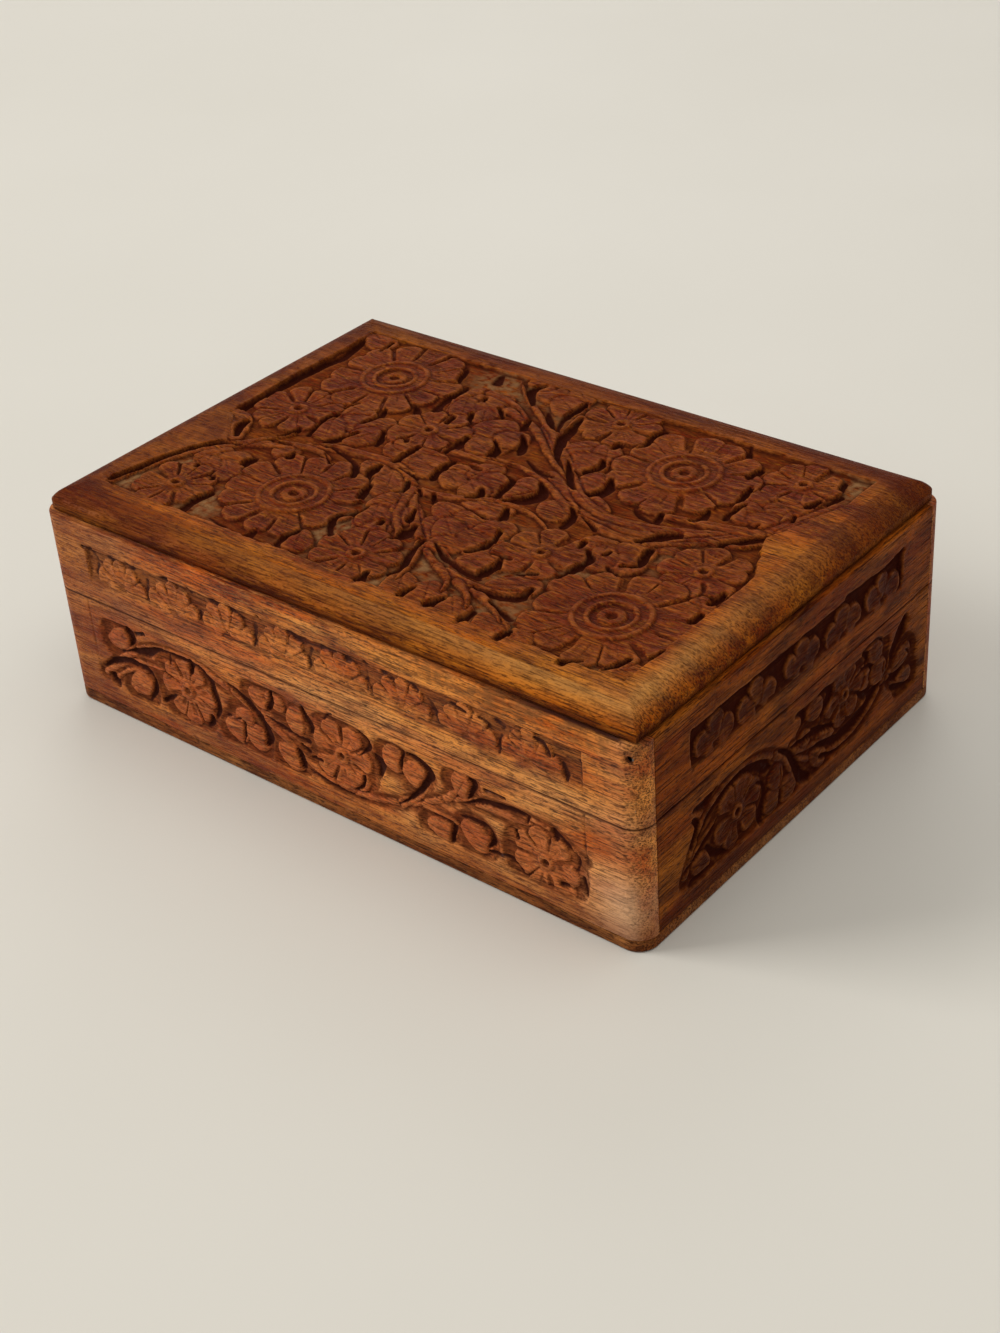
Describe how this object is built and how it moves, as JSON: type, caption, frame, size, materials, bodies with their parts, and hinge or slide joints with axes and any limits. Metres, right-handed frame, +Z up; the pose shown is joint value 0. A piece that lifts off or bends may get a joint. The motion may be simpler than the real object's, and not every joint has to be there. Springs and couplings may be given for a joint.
{
  "type": "jewelry box",
  "caption": "Carved wooden jewelry box with a hinged lid: jointed boards with floral relief, a thick round-edged top panel, felt linings and brass butt hinges at the back.",
  "frame": {"origin": "centre of the underside", "axes": "+X along the long side, +Y from the front to the hinged back, +Z up"},
  "size_m": [0.228, 0.155, 0.0765],
  "materials": {
    "carved_top": "hand carved, oiled, dusty in the hollows",
    "wall_wood": "hand carved, oiled, worn at the corners",
    "bottom_wood": "planed, oiled",
    "felt": "short-napped felt",
    "hinge_brass": "stamped, dulled with age",
    "screw_brass": "turned, slotted",
    "steel_brads": "dark drawn wire"
  },
  "bodies": {
    "base": {"base_front_board": "wall_wood", "base_back_board": "wall_wood", "base_left_board": "wall_wood", "base_right_board": "wall_wood", "bottom_panel": "bottom_wood", "floor_lining": "felt", "base_corner_brads": "steel_brads", "bottom_panel_brads": "steel_brads", "left_hinge_base_leaf": "hinge_brass", "left_hinge_pin": "hinge_brass", "left_hinge_base_screws": "screw_brass", "right_hinge_base_leaf": "hinge_brass", "right_hinge_pin": "hinge_brass", "right_hinge_base_screws": "screw_brass"},
    "lid": {"lid_front_rail": "wall_wood", "lid_back_rail": "wall_wood", "lid_left_rail": "wall_wood", "lid_right_rail": "wall_wood", "lid_top_panel": "carved_top", "lid_lining": "felt", "lid_corner_brads": "steel_brads", "left_hinge_lid_leaf": "hinge_brass", "left_hinge_lid_screws": "screw_brass", "right_hinge_lid_leaf": "hinge_brass", "right_hinge_lid_screws": "screw_brass"}
  },
  "joints": [
    {"name": "lid_hinge", "type": "hinge", "parent": "base", "child": "lid", "pos_m": [0, 0.0755, 0.0419], "axis": [-1, 0, 0], "range_deg": [0, 100]}
  ]
}
